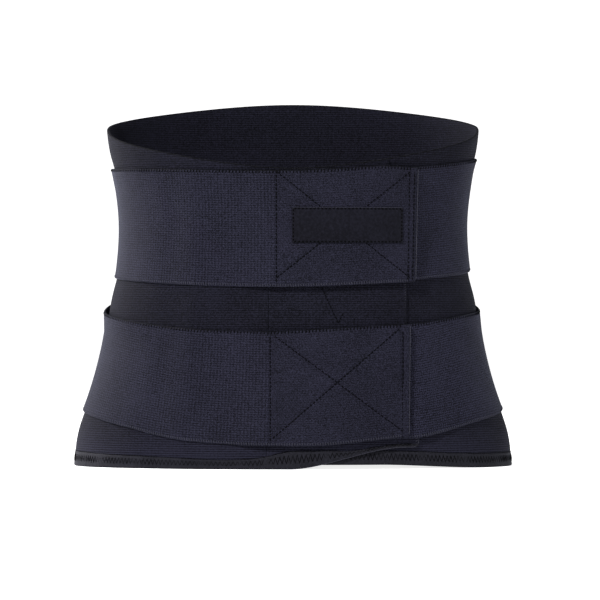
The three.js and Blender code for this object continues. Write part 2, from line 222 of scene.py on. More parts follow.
def surface(angle, height, out):
    """Points and unit normals at a distance out from the wrap's inside: a level
    section is |x / side|^n + |y / depth|^n = 1 with n = SQUARENESS, and the point is
    moved along that section's outward normal."""
    angle, height, out = np.broadcast_arrays(*(np.asarray(v, float) for v in (angle, height, out)))
    across, ahead = np.sin(np.radians(angle)), np.cos(np.radians(angle))
    side, front, back = section(height)
    depth = np.where(ahead > 0, front, back)
    side_share, depth_share = np.abs(across) / side, np.abs(ahead) / depth
    reach = (side_share**SQUARENESS + depth_share**SQUARENESS) ** (-1 / SQUARENESS)
    normal = np.stack([
        np.sign(across) * side_share ** (SQUARENESS - 1) / side,
        -np.sign(ahead) * depth_share ** (SQUARENESS - 1) / depth,
        np.zeros_like(reach),
    ], -1)
    normal /= np.linalg.norm(normal, axis=-1, keepdims=True)
    point = np.stack([reach * across, MIDDLE_Y - reach * ahead, height], -1)
    return point + normal * out[..., None], normal


def arc_angle(length, angle, height):
    """The angle that an arc of a length takes at an angle and height."""
    ends, _ = surface(np.array([angle - 0.5, angle + 0.5]), height, 0)
    return length / np.linalg.norm(ends[1] - ends[0])


def angle_across(across, height, out):
    """The angle, by halving, at which a place out from the wrap is a distance across."""
    across, height = np.broadcast_arrays(np.asarray(across, float), np.asarray(height, float))
    low, high = np.zeros(across.shape), np.full(across.shape, 90.0)
    for _ in range(22):
        middle = (low + high) / 2
        short = surface(middle, height, out)[0][..., 0] < across
        low, high = np.where(short, middle, low), np.where(short, high, middle)
    return low


def top_edge(angle):
    """Height of the wrap's upper edge. It rises from the front to the sides with the
    1.75th power of the turn, and from there to the back with the turn's sine."""
    turned = np.abs(np.where(angle > 180, angle - 360, angle))
    ahead = FRONT_HEIGHT + (SIDE_HEIGHT - FRONT_HEIGHT) * (turned / 90) ** 1.75
    behind = SIDE_HEIGHT + (BACK_HEIGHT - SIDE_HEIGHT) * np.sin(np.radians(turned - 90))
    return np.where(turned < 90, ahead, behind)


def outer_half(angle):
    """Inside of the half that climbs over the end of the other half."""
    return LAYER_LIFT * ease(angle, INNER_END_ANGLE - RAMP_ANGLE, INNER_END_ANGLE)


def outer_hem(angle):
    """Lower edge and tape height on the half that carries the flap."""
    low = HEM_RISE * ease(angle, FLAP_RISE_ANGLE, FLAP_RISE_END_ANGLE)
    return low, BINDING_HEIGHT * curve(OUTER_BINDING, "angle", angle, "height")


def wrap_inner(angle):
    """Inside of the wrap, whose angle runs on past half a turn over its own start."""
    return np.where(angle > 180, outer_half(angle - 360), 0)


def wrap_hem(angle):
    """Lower edge and tape height of the wrap."""
    low, tape = outer_hem(angle - 360)
    inner_low = INNER_HEM_RISE * ease(-angle, -INNER_RISE_ANGLE, -INNER_RISE_END_ANGLE)
    over = angle > 180
    return np.where(over, low, inner_low), np.where(over, tape, BINDING_HEIGHT)


def flap_edge(height):
    """Angle of the flap's free edge, whose lower corner is a quarter circle."""
    share = curve(FLAP_EDGE, "height", np.asarray(height, float) / FRONT_HEIGHT, "across")
    depth = np.clip((HEM_RISE + FLAP_CORNER - height) / FLAP_CORNER, 0, 1)
    rounded = FLAP_CORNER * (1 - np.sqrt(1 - depth * depth))
    return angle_across(FLAP_ACROSS * share - rounded, height, LAYER_LIFT + WALL)


def slide_to(end, edge):
    """Slides the columns past end / 2 so that the last follows an edge's angle."""
    def slide(angle, height):
        follows = np.clip((angle - end / 2) / (end / 2), 0, 1)
        return angle + follows * (edge(height) - end)
    return slide


def stay(angle, height):
    """Leaves the columns where they are."""
    return angle + 0 * height


def front_angle(across, height):
    """Angle of the place on the front that is a distance across, either side."""
    return np.sign(across) * angle_across(np.abs(across), height, 3 * LAYER_LIFT)


FLAP_END_ANGLE = float(flap_edge(FRONT_HEIGHT / 2))
FLAP_SLIDE = slide_to(FLAP_END_ANGLE, flap_edge)
WRAP_END_ANGLE = 360 + SEAM_ANGLE - arc_angle(BUTT, SEAM_ANGLE, HEM_RISE)


def inner_strap_inner(angle):
    """Inside of the straps that lie on the flap and drop off its edge."""
    return LAYER_LIFT * (2 - ease(angle, FLAP_END_ANGLE, FLAP_END_ANGLE + RAMP_ANGLE))


def outer_strap_inner(angle, patch):
    """Inside of the straps that close over the inner straps and their hook pads."""
    on_strap = ease(angle, STRAP_TIP_ANGLE - RAMP_ANGLE, STRAP_TIP_ANGLE)
    on_pad = ease(angle, patch - RAMP_ANGLE, patch)
    return outer_half(angle) + LAYER_LIFT + on_strap * (STRAP + GAP) + on_pad * (HOOK_PAD + GAP)


class Course:
    """Where one strap runs: its middle line and half width by angle, the inside face
    that it lies at, how its upper edge gapes at the sides, and its seams."""

    def __init__(self, rows, middle, ends, inner, seams=NO_SEAMS, patch=ROOT_ANGLE, edge=None, gape=0.0):
        self.rows, self.middle, self.inner, self.seams = rows, middle, inner, seams
        self.start, self.end = ends
        self.patch, self.gape, self.folded = patch, gape, edge is not None
        self.slide = slide_to(self.end, edge) if edge else stay
        self.per_degree = 1 / arc_angle(1, self.end, middle)
        self.fold = self.end - FOLD_LENGTH / self.per_degree
        self.step = STRAP_FOLD / self.per_degree

    def edges(self, angle):
        """Lower and upper edge: the middle line less and plus the half width."""
        centre = self.middle + STRAP_WIDTH * curve(self.rows, "angle", angle, "rise")
        half = STRAP_WIDTH * curve(self.rows, "angle", angle, "width") / 2
        return centre - half, centre + half

    def thickness(self, angle):
        """The webbing's own thickness, and STRAP_FOLD more on a folded end."""
        return STRAP + self.folded * STRAP_FOLD * ease(angle, self.fold - self.step, self.fold)

    def inside(self, angle, share):
        """The gape eases in at the sides and rises over the strap's top fifth."""
        sideways = ease(np.abs(np.sin(np.radians(angle))), 0.8, 1)
        return self.inner(angle) + self.gape * sideways * np.clip((share - 0.8) / 0.2, 0, 1)

    def place(self, angle, share, over=0.0):
        """Points and normals at a share of the way up the strap, over its outer face."""
        low, high = self.edges(angle)
        height = low + (high - low) * share
        out = self.inside(angle, share) + self.thickness(angle) + over
        return surface(self.slide(angle, height), height, out)

    def drawn_in(self, angle, height):
        """1 along the strap's seams and exp(-(d / DRAWN_REACH)^2) at a distance d."""
        points, _ = surface(angle, height, LAYER_LIFT)
        drawn = np.zeros(height.shape)
        for across, up, to_across, to_up in zip(*self.seams.values()):
            run = np.array([to_across - across, to_up - up])
            from_start = points[..., [0, 2]] - [across, up]
            share = np.clip(from_start @ run / (run @ run), 0, 1)
            distance = np.linalg.norm(from_start - share[..., None] * run, axis=-1)
            near = np.exp(-((distance / DRAWN_REACH) ** 2))
            drawn = np.maximum(drawn, near * (points[..., 1] < 0))
        return drawn


def strap_end(middle, across, slant):
    """Edge function of an outer strap's end, a little further across at its top."""
    out = 3 * LAYER_LIFT + STRAP + HOOK_PAD

    def edge(height):
        return angle_across(across + slant * (height - middle) / STRAP_WIDTH, height, out)

    return edge


UPPER_MIDDLE, LOWER_MIDDLE = 187.7, 63.0
UPPER_PATCH, LOWER_PATCH = -7.6, -9.5
UPPER_EDGE = strap_end(UPPER_MIDDLE, 97.3, 2.0)
LOWER_EDGE = strap_end(LOWER_MIDDLE, 91.5, 1.2)
COURSES = {
    "upper_outer_strap": Course(
        UPPER_OUTER, UPPER_MIDDLE, (-ROOT_ANGLE, float(UPPER_EDGE(UPPER_MIDDLE))),
        lambda angle: outer_strap_inner(angle, UPPER_PATCH), UPPER_SEAMS, UPPER_PATCH, UPPER_EDGE, gape=0.8,
    ),
    "lower_outer_strap": Course(
        LOWER_OUTER, LOWER_MIDDLE, (-ROOT_ANGLE, float(LOWER_EDGE(LOWER_MIDDLE))),
        lambda angle: outer_strap_inner(angle, LOWER_PATCH), LOWER_SEAMS, LOWER_PATCH, LOWER_EDGE, gape=2.4,
    ),
    "upper_inner_strap": Course(
        UPPER_INNER, UPPER_MIDDLE, (STRAP_TIP_ANGLE, ROOT_ANGLE), inner_strap_inner,
    ),
    "lower_inner_strap": Course(
        LOWER_INNER, LOWER_MIDDLE, (STRAP_TIP_ANGLE, ROOT_ANGLE), inner_strap_inner, gape=0.6,
    ),
}


def make_mesh(name, points, faces, uv=None, rim=None):
    """A smooth-shaded object from points in millimetres, with faces as index rows,
    an optional map of its cloth and an optional value that is 1 on its rims."""
    mesh = bpy.data.meshes.new(name)
    mesh.from_pydata((points * MM).tolist(), [], [face for rows in faces for face in rows.tolist()])
    mesh.polygons.foreach_set("use_smooth", np.ones(len(mesh.polygons), bool))
    if uv is not None:
        corner = np.empty(len(mesh.loops), np.int32)
        mesh.loops.foreach_get("vertex_index", corner)
        layer = mesh.uv_layers.new(name="cloth")
        layer.data.foreach_set("uv", (uv[corner] * MM).astype(np.float32).ravel())
    if rim is not None:
        mesh.attributes.new("rim", "FLOAT", "POINT").data.foreach_set("value", rim.astype(np.float32))
    mesh.update()
    piece = bpy.data.objects.new(name, mesh)
    bpy.context.scene.collection.objects.link(piece)
    return piece


def ring_mesh(name, points, along, up, rim):
    """Joins closed rings, one for each column of a grid of points, into one skin
    whose first and last ring are closed by a strip."""
    count, size = points.shape[:2]
    index = np.arange(count * size).reshape(count, size)
    here, there = index[:-1], index[1:]
    sides = np.stack([here, there, np.roll(there, -1, 1), np.roll(here, -1, 1)], -1).reshape(-1, 4)
    ends = np.stack([index[0], index[-1][::-1]])
    grid = np.broadcast_arrays(along, up, rim)
    uv = np.stack(grid[:2], -1).reshape(-1, 2)
    return make_mesh(name, points.reshape(-1, 3), [sides, ends], uv, grid[2].ravel())


def columns(start, end, step, rounds, extra=()):
    """Even angles from start to end and a few extra ones, closer where the two ends
    are rounded, and the share of its thickness that the cloth keeps there: the quarter
    circle sqrt(1 - (1 - d)^2) of the distance d from the end over the rounding."""
    close, (first, last) = np.array([0.0, 0.12, 0.4, 1.0]), rounds
    even = np.linspace(start, end, int(round((end - start) / step)) + 1)
    even = even[(even > start + 1.5 * first) & (even < end - 1.5 * last)]
    angles = np.unique(np.concatenate([start + close * first, even, end - close * last, extra]))
    distance = np.clip(np.minimum((angles - start) / first, (end - angles) / last), 0, 1)
    return angles, np.sqrt(np.clip(1 - (1 - distance) ** 2, 0.05, 1))


def cloth(name, angles, keeps, edges, faces, rims, slide=stay, rows=24, along=None, up=None):
    """A wall of cloth as one closed skin. Round each column runs a ring: up the outer
    face, over the upper rim as a half circle, down the inner face and round the
    lower rim. A ring point is height = low + r + (high - low - r - R)·share + bulge,
    with bulge r·sin or R·sin of the turn, and its distance out is faces(...)."""
    turn = np.linspace(0, np.pi, 7)[1:-1]
    rise, fall = np.linspace(0, 1, rows + 1), np.linspace(1, 0, rows // 2 + 1)
    share = np.concatenate([rise, 0 * turn + 1, fall, 0 * turn])
    bulge = np.concatenate([0 * rise, np.sin(turn), 0 * fall, -np.sin(turn)])
    depth = np.concatenate([0 * rise + 1, 0.5 + 0.5 * np.cos(turn), 0 * fall, 0.5 - 0.5 * np.cos(turn)])
    low_rim, top_rim = rims
    angle = angles[:, None]
    low, high = (edge[:, None] for edge in edges(angles))
    radius = np.where(bulge < 0, low_rim, top_rim)
    height = low + low_rim + (high - low - low_rim - top_rim) * share + radius * bulge
    place = slide(angle, height)
    out = faces(angle, place, height, share, 0.5 + (depth - 0.5) * keeps[:, None])
    points, _ = surface(place, height, out)
    across = height if up is None else up(low, high, height)
    # The last value is 1 on the upper rim, where the materials paint shade.
    return ring_mesh(name, points, along[:, None], across, np.abs(bulge) * (bulge > 0))


def run_length(angles, height, out):
    """Distance gone round the corset at each angle, along one height."""
    points, _ = surface(angles, height, out)
    steps = np.linalg.norm(np.diff(points, axis=0), axis=1)
    return np.concatenate([[0], np.cumsum(steps)])


def waves(angle, height, *terms):
    """The sum of size·sin(turns·angle + climb·height + start) over its terms."""
    return sum(
        size * np.sin(np.radians(turns * angle) + climb * height + start)
        for size, turns, climb, start in terms
    )


def pressed_wall(inner, hem):
    """Faces of a wall whose hem is pressed thin inside its tape, in the middle of the
    full wall, and which waves by a third of a millimetre above it."""
    def faces(angle, place, height, share, depth):
        low, tape = hem(angle)
        above = height - low - tape - TAPE_GAP
        full = ease(above, 0, (WALL - PRESSED_WALL) / 2)
        thick = PRESSED_WALL + (WALL - PRESSED_WALL) * full
        wave = waves(
            place, height,
            (0.13, 7, 0.021, 0.4), (0.10, 13, -0.034, 1.9), (0.07, 23, 0.052, 4.1), (0.04, 41, -0.07, 2.2),
        )
        return inner(angle) + (WALL - thick) / 2 + thick * depth + wave * ease(above, 0, 12)
    return faces


def build_wrap():
    """The wrap, from its end inside the closure once round and over it to the flap."""
    angles, keeps = columns(INNER_END_ANGLE, WRAP_END_ANGLE, 1.25, (0.5, 0.12))

    def edges(angle):
        return wrap_hem(angle)[0] + TAPE + TAPE_GAP, top_edge(angle)

    return cloth(
        "wrap", angles, keeps, edges, pressed_wall(wrap_inner, wrap_hem), (PRESSED_WALL / 2, WALL / 2),
        rows=64, along=run_length(angles, MAP_HEIGHT, 0),
    )


def build_flap():
    """The flap, from the seam where it butts on the wrap to its slanted free edge."""
    angles, keeps = columns(SEAM_ANGLE, FLAP_END_ANGLE, 1.0, (0.12, 0.6))

    def edges(angle):
        top = top_edge(FLAP_SLIDE(angle, top_edge(angle)))
        return outer_hem(angle)[0] + TAPE + TAPE_GAP, top

    return cloth(
        "flap", angles, keeps, edges, pressed_wall(outer_half, outer_hem), (PRESSED_WALL / 2, WALL / 2),
        FLAP_SLIDE, rows=64, along=run_length(angles, MAP_HEIGHT, 0),
    )


def folded_tape(name, start, end, hem, inner, slide=stay):
    """A tape folded round the hem. Its section is a U: down the near face, round a
    half circle, up the far face, and back inside it one tape's thickness away. The
    far face bows out between its edges and puckers along the seam."""
    angles, keeps = columns(start, end, 1.0, (0.1, 0.1))
    half, middle = HEM_THICKNESS / 2, WALL / 2
    face, bend = np.linspace(1, 0, 7), np.linspace(0, np.pi, 9)[1:-1]
    few, short_bend = face[::3], np.linspace(np.pi, 0, 5)[1:-1]
    share = np.concatenate([face, 0 * bend, face[::-1], few, 0 * short_bend, few[::-1]])
    side = np.concatenate([
        0 * face - 1, -np.cos(bend), 0 * face + 1,
        0 * few + 1, -np.cos(short_bend), 0 * few - 1,
    ])
    dip = np.concatenate([0 * face, np.sin(bend), 0 * face, 0 * few, np.sin(short_bend), 0 * few])
    skin_points = 2 * face.size + bend.size
    outside = np.arange(share.size) < skin_points
    reach = np.where(outside, half, half - TAPE)
    low, tape = (value[:, None] for value in hem(angles))
    angle = angles[:, None]
    height = low + half + (tape - half) * share - reach * dip
    shown = outside & (side > 0.5)
    bow = 0.18 * np.sin(np.pi * share) - 0.12 * share**8
    pucker = 0.09 * share**2 * np.sin(np.radians(angle) * 190)
    ripple = waves(angle, height, (0.09, 31, 0.0, 0.7), (0.07, 53, 0.0, 2.1), (0.04, 97, 0.0, 4.0))
    out = inner(angle) + middle + side * reach + shown * (bow + pucker + ripple)
    points, _ = surface(slide(angle, height), height, out)
    along = run_length(angles, 5, 0)[:, None]
    return ring_mesh(name, points, along, height - low, shown * (share > 0.95))


def strap_cuts(course):
    """Edges of a strap by angle, with the two corners of its free end cut round."""
    low_corner, top_corner = 2.0, 1.2

    def edges(angle):
        low, high = course.edges(angle)
        left = (course.end - angle) * course.per_degree

        def cut(radius):
            return radius * (1 - np.sqrt(1 - np.clip(1 - left / radius, 0, 1) ** 2))

        if not course.folded:
            return low, high
        return low + cut(low_corner), high - cut(top_corner)
    return edges


def build_strap(name, piece):
    """Webbing that puckers along its looped edges and is drawn in along its seams."""
    course = COURSES[name]
    fold = course.fold - course.step * np.array([0.0, 0.5, 1.0])
    angles, keeps = columns(course.start, course.end, 0.8, (0.4, 0.4), fold if course.folded else ())

    def faces(angle, place, height, share, depth):
        wave = waves(place, height, (0.07, 9, 0.03, 1.2), (0.05, 21, -0.05, 0.3), (0.03, 47, 0.09, 2.7))
        edge = np.minimum(share, 1 - share) * STRAP_WIDTH
        roll = ROLL_DEPTH * (1 - ease(edge, 0, ROLL_WIDTH))
        pressed = (roll + DRAWN_DEPTH * course.drawn_in(place, height)) * (depth > 0.5)
        return course.inside(angle, share) + course.thickness(angle) * depth + wave - pressed

    stretch = 1 + 0.2 * ease(angles, course.patch - 1, course.patch + 1)
    steps = np.diff(run_length(angles, course.middle, 5)) * stretch[1:]
    gone = np.concatenate([[0], np.cumsum(steps)])
    return cloth(
        piece, angles, keeps, strap_cuts(course), faces, (STRAP / 2, STRAP / 2), course.slide, rows=60,
        along=gone - np.interp(course.patch, angles, gone),
        up=lambda low, high, height: height - (low + high) / 2,
    )


def label_half_angle(inset=0):
    """Half the angle that the label takes, less an inset at each end."""
    return float(arc_angle(LABEL_WIDTH - 2 * inset, LABEL_ANGLE, LABEL_MIDDLE)) / 2


def label_inner(angle):
    """Inside of the label, which lies on the upper outer strap."""
    return outer_strap_inner(angle, UPPER_PATCH) + STRAP + GAP


def build_label():
    """The label, a level rectangle LABEL_HEIGHT high."""
    half_angle = label_half_angle()
    angles, keeps = columns(LABEL_ANGLE - half_angle, LABEL_ANGLE + half_angle, 0.7, (0.25, 0.25))

    def edges(angle):
        half = 0 * angle + LABEL_HEIGHT / 2
        return LABEL_MIDDLE - half, LABEL_MIDDLE + half

    def faces(angle, place, height, share, depth):
        """Pressed in by GROOVE_DEPTH·exp(-(e / GROOVE_WIDTH)^2) at a distance e from
        its row of stitches."""
        edge = np.minimum(
            LABEL_HEIGHT / 2 - np.abs(height - LABEL_MIDDLE),
            (half_angle - np.abs(angle - LABEL_ANGLE)) * LABEL_WIDTH / (2 * half_angle),
        )
        groove = GROOVE_DEPTH * np.exp(-((edge - LABEL_SEAM) / GROOVE_WIDTH) ** 2) * (depth > 0.5)
        return label_inner(angle) + LABEL * depth - groove

    return cloth(
        "label", angles, keeps, edges, faces, (LABEL / 2, LABEL / 2),
        rows=36, along=run_length(angles, LABEL_MIDDLE, 9),
    )


def threads(name, starts, ends, normals, radius, rise):
    """Short sewn threads as one mesh. At a share t of a thread its middle is
    start + t·(end - start) + normal·(rise·sin(pi·t) - radius / 2), and round it five
    points lie at radius·(0.6 + 0.4·sin(pi·t))."""
    stations, turns = np.linspace(0, 1, 5), np.arange(5) * 2 * np.pi / 5
    along = ends - starts
    along /= np.linalg.norm(along, axis=1, keepdims=True)
    side = np.cross(normals, along)
    side /= np.linalg.norm(side, axis=1, keepdims=True)
    lift = np.sin(np.pi * stations)
    middle = (
        starts[:, None] + (ends - starts)[:, None] * stations[:, None]
        + normals[:, None] * (rise * lift - 0.5 * radius)[:, None]
    )
    size = radius * (0.6 + 0.4 * lift)[:, None, None]
    spokes = normals[:, None, None] * np.cos(turns)[:, None] + side[:, None, None] * np.sin(turns)[:, None]
    points = middle[:, :, None] + spokes * size
    count, rings, sides = points.shape[:3]
    index = np.arange(count * rings * sides).reshape(count, rings, sides)
    here, there = index[:, :-1], index[:, 1:]
    quads = np.stack([here, there, np.roll(there, -1, 2), np.roll(here, -1, 2)], -1).reshape(-1, 4)
    caps = np.concatenate([index[:, 0], index[:, -1, ::-1]])
    return make_mesh(name, points.reshape(-1, 3), [quads, caps])


def seam(line, stitch, gap):
    """Starts, ends and normals of even stitches along a line of points and normals,
    whose length is shared into whole stitches of stitch + gap."""
    points, normals = line
    steps = np.linalg.norm(np.diff(points, axis=0), axis=1)
    gone = np.concatenate([[0], np.cumsum(steps)])
    pitch = gone[-1] / max(round(gone[-1] / (stitch + gap)), 1)
    begin = np.arange(0, gone[-1] - pitch / 2, pitch) + gap / 2

    def at(distance, values):
        return np.stack([np.interp(distance, gone, column) for column in values.T], -1)

    return at(begin, points), at(begin + pitch - gap, points), at(begin + pitch / 2, normals)


def gather(*runs):
    """Joins several runs of starts, ends and normals."""
    return [np.concatenate(column) for column in zip(*runs)]


def looped_edge(course, share, pitch):
    """Slanting loops over one edge of a strap: each runs from LOOP_REACH inside the
    edge, on the outer face, to the middle of the rim."""
    low_angle, high_angle = course.start + 0.8, course.end - 2.0 * course.folded - 0.6
    fine = np.linspace(low_angle, high_angle, 400)
    edge_points, _ = course.place(fine, share)
    steps = np.linalg.norm(np.diff(edge_points, axis=0), axis=1)
    gone = np.concatenate([[0], np.cumsum(steps)])
    angle = np.interp(np.arange(0.5 * pitch, gone[-1], pitch), gone, fine)
    inward = LOOP_REACH / STRAP_WIDTH * (1 if share < 0.5 else -1)
    slant = 0.22
    starts, normals = course.place(angle, share + inward, 0.06)
    ends, _ = course.place(angle + slant, share, -0.45 * STRAP)
    return starts, ends, normals


def between(first, last, count=60):
    """Coordinates of an even row of places between two."""
    share = np.linspace(0, 1, count)
    return [start + (end - start) * share for start, end in zip(first, last)]


def across_line(course, first, last):
    """A straight line on a strap between two places, each a distance across the front
    and a height. It lies a little over the outer face."""
    over = 0.12
    across, height = between(first, last, 80)
    angle = front_angle(across, height)
    low, high = course.edges(angle)
    out = course.inside(angle, (height - low) / (high - low)) + course.thickness(angle) + over
    return surface(angle, height, out)


def tape_line(hem, inner, slide, angle, share, over):
    """Points and normals on the far face of a hem tape, clear of its bow, at the
    height low + half + (tape - half)·share."""
    low, tape = hem(angle)
    half, clear = HEM_THICKNESS / 2, 0.12
    height = low + half + (tape - half) * share
    return surface(slide(angle, height), height, inner(angle) + WALL / 2 + half + clear + over)


def paced(start, end, pitch, height):
    """Angles from start to end at even distances round the corset."""
    fine = np.linspace(start, end, 600)
    gone = run_length(fine, height, LAYER_LIFT)
    return np.interp(np.arange(pitch / 2, gone[-1], pitch), gone, fine)


def zigzag(hem, inner, slide, start, end):
    """Threads that climb and fall in turn across the face of a hem tape."""
    angle = paced(start, end, ZIGZAG_STEP, BINDING_HEIGHT / 2)
    share = np.where(np.arange(angle.size) % 2, 0.78, 0.24)
    points, normals = tape_line(hem, inner, slide, angle, share, 0.1)
    return points[:-1], points[1:], (normals[:-1] + normals[1:]) / 2


def tape_top(hem, inner, slide, start, end):
    """A close row of stitches along the upper edge of a hem tape."""
    angle = np.linspace(start, end, int((end - start) * 2))
    return seam(tape_line(hem, inner, slide, angle, 1.0, -0.1), stitch=2.2, gap=0.3)


def hem_stitches(*tape):
    """Both rows of stitches on a hem tape."""
    return gather(zigzag(*tape), tape_top(*tape))


def wrap_face(angle, height, over):
    """Points and normals on the outer face of the flap and the half that carries it."""
    return surface(angle, height, outer_half(angle) + WALL + over)


def bridge_seam():
    """Threads from the wrap over to the flap, up their butted seam."""
    reach, pitch = 0.5, 2.4
    height = np.arange(outer_hem(SEAM_ANGLE)[0] + 2 * BINDING_HEIGHT, top_edge(SEAM_ANGLE) - 3, pitch)
    starts, normals = wrap_face(SEAM_ANGLE - reach, height, -0.1)
    ends, _ = wrap_face(SEAM_ANGLE + reach, height + pitch / 2, -0.1)
    return starts, ends, normals


def flap_edge_loops(pitch):
    """Slanting loops over the flap's free edge, up its whole height: each runs from
    LOOP_REACH inside the edge, at 2.4 mm a degree, to just short of it."""
    per_degree = 2.4
    height = np.arange(outer_hem(FLAP_END_ANGLE)[0] + FLAP_CORNER, top_edge(FLAP_END_ANGLE) - 8, pitch)
    edge = flap_edge(height)
    starts, normals = wrap_face(edge - LOOP_REACH / per_degree, height, 0.06)
    ends, _ = wrap_face(edge - 0.15, height + pitch / 3, -0.35)
    return starts, ends, normals


def flap_highlight_line():
    """Close light stitches along the flap's rising lower edge, round its corner and up the
    foot of its free edge: a painted highlight on that lit edge, which also stands for the hatch at the
    corner."""
    angle = np.linspace(-4, FLAP_END_ANGLE, 90)
    low = outer_hem(angle)[0]
    up = low[-1] + np.linspace(0.2, 12, 40)
    angle = np.concatenate([FLAP_SLIDE(angle, low), flap_edge(up)])
    height = np.concatenate([low, up]) + 0.4
    out = outer_half(angle) + (WALL + HEM_THICKNESS) / 2 - 0.1
    return seam(surface(angle, height, out), stitch=2.4, gap=0.1)


def fold_highlight_line(course):
    """Close light stitches up the folded end of a strap, as a painted highlight on the lit edge of the fold.
    """
    share = np.linspace(0.03, 0.98, 80)
    return seam(course.place(np.full(80, course.end - 0.15), share, -0.1), stitch=2.2, gap=0.1)


def label_highlight_line():
    """Close light stitches along the label's upper edge, as a painted highlight on its lit top edge."""
    angle = LABEL_ANGLE + label_half_angle() * np.linspace(-0.99, 0.99, 60)
    out = label_inner(angle) + LABEL / 2
    return seam(surface(angle, LABEL_MIDDLE + LABEL_HEIGHT / 2, out), stitch=2.4, gap=0.1)


def label_seam():
    """A row of stitches round the label, inside its border."""
    half_angle, half = label_half_angle(LABEL_SEAM), LABEL_HEIGHT / 2 - LABEL_SEAM
    corners = ((-1, -1), (1, -1), (1, 1), (-1, 1), (-1, -1))
    runs = []
    for start, end in zip(corners, corners[1:]):
        across, up = between(start, end)
        angle, height = LABEL_ANGLE + half_angle * across, LABEL_MIDDLE + half * up
        runs.append(seam(surface(angle, height, label_inner(angle) + LABEL), stitch=1.7, gap=1.3))
    return gather(*runs)


def root_seam(course, outer_end, inner_end):
    """A box of stitches where a strap is sewn down at the back."""
    runs = [
        seam(course.place(np.linspace(outer_end, inner_end, 60), share, 0.02), ROOT_STITCH, ROOT_GAP)
        for share in (0.08, 0.92)
    ]
    runs += [
        seam(course.place(np.full(60, angle), np.linspace(0.08, 0.92, 60), 0.02), ROOT_STITCH, ROOT_GAP)
        for angle in (outer_end, inner_end)
    ]
    return gather(*runs)


# Level camera in metres, its lens and sensor in millimetres, and the height that the
# lights face
CAMERA_DISTANCE, CAMERA_HEIGHT, CAMERA_X = 4.2, 0.132, 0.0056
LENS, SENSOR = 315.0, 36.0
LIT_HEIGHT = 0.14


def build_camera():
    """A camera that looks level along +Y."""
    data = bpy.data.cameras.new("camera")
    data.lens, data.sensor_width, data.clip_end = LENS, SENSOR, 50
    camera = bpy.data.objects.new("camera", data)
    camera.location = (CAMERA_X, MIDDLE_Y * MM - CAMERA_DISTANCE, CAMERA_HEIGHT)
    camera.rotation_euler = (math.pi / 2, 0, 0)
    bpy.context.scene.collection.objects.link(camera)
    bpy.context.scene.camera = camera


def build_backdrop():
    """A round floor that turns up through a quarter circle into a low wall all round:
    at each turn its points lie at a reach out and a height."""
    reach, bend, rise = 16.0, 2.0, 2.6
    climb, turn = np.linspace(0, np.pi / 2, 13), np.linspace(0, 2 * np.pi, 97)[:-1, None]
    out = np.concatenate([[1.0], reach + bend * np.sin(climb), [reach + bend]])
    height = np.concatenate([[0.0], bend * (1 - np.cos(climb)), [rise]])
    points = np.stack(np.broadcast_arrays(out * np.cos(turn), out * np.sin(turn), height), -1)
    here = np.arange(turn.size * out.size).reshape(turn.size, out.size)
    there = np.roll(here, -1, 0)
    quads = np.stack([here[:, :-1], here[:, 1:], there[:, 1:], there[:, :-1]], -1).reshape(-1, 4)
    floor = make_mesh("floor", points.reshape(-1, 3) / MM, [quads, here[:, 0][None]])
    floor.data.materials.append(floor_material())


def area_light(name, azimuth, elevation, distance, width, height, watts, colour):
    """A rectangle of light that faces the corset's axis at LIT_HEIGHT. Azimuth goes from the
    front towards +X and elevation up from level, in degrees."""
    data = bpy.data.lights.new(name, "AREA")
    data.shape, data.size, data.size_y, data.energy, data.color = "RECTANGLE", width, height, watts, colour
    light = bpy.data.objects.new(name, data)
    turn, climb = math.radians(azimuth), math.radians(elevation)
    light.location = (
        distance * math.sin(turn) * math.cos(climb),
        -distance * math.cos(turn) * math.cos(climb),
        LIT_HEIGHT + distance * math.sin(climb),
    )
    light.rotation_euler = (math.pi / 2 - climb, 0, turn)
    bpy.context.scene.collection.objects.link(light)


class Socket:
    """A shader socket. Arithmetic on it adds Math nodes to its tree."""

    def __init__(self, tree, socket=None):
        self.tree, self.socket = tree, socket

    def node(self, kind, settings, inputs, output=0):
        """Adds a node: its settings first, then its sockets' values and links."""
        node = self.tree.nodes.new(kind)
        for name, value in settings.items():
            setattr(node, name, value)
        for key, value in inputs.items():
            if isinstance(value, Socket):
                self.tree.links.new(value.socket, node.inputs[key])
            else:
                node.inputs[key].default_value = value
        return Socket(self.tree, node.outputs[output])

    def math(self, operation, *values):
        """One Math node on the values."""
        return self.node("ShaderNodeMath", {"operation": operation}, dict(enumerate(values)))

    def __add__(self, other):
        return self.math("ADD", self, other)

    def __sub__(self, other):
        return self.math("SUBTRACT", self, other)

    def __rsub__(self, other):
        return self.math("SUBTRACT", other, self)

    def __mul__(self, other):
        return self.math("MULTIPLY", self, other)

    __radd__ = __add__
    __rmul__ = __mul__

    def wave(self, pitch):
        """From 0 to 1 and back over each pitch."""
        return self.math("SINE", self * (2 * math.pi / pitch)) * 0.5 + 0.5

    def stepped(self, low, high):
        """Rises smoothly from 0 to 1 between two values."""
        return self.node(
            "ShaderNodeMapRange", {"interpolation_type": "SMOOTHSTEP"},
            {"Value": self, "From Min": low, "From Max": high},
        )

    def mix(self, low, high):
        """A colour between two, with this as the share of the second."""
        return self.node("ShaderNodeMix", {"data_type": "RGBA"}, {"Factor": self, 6: low, 7: high}, output=2)


def cloth_map(base):
    """Distances along the cloth and up it from its own map, in millimetres."""
    uv = base.node("ShaderNodeTexCoord", {}, {}, output=2)
    return [base.node("ShaderNodeSeparateXYZ", {}, {0: uv}, output=axis) * (1 / MM) for axis in (0, 1)]


def noise(base, scale, detail=3.0, roughness=0.55):
    """Noise in Object coordinates, with scale in features per metre."""
    place = base.node("ShaderNodeTexCoord", {}, {}, output=3)
    return base.node(
        "ShaderNodeTexNoise", {}, {"Vector": place, "Scale": scale, "Detail": detail, "Roughness": roughness},
    )


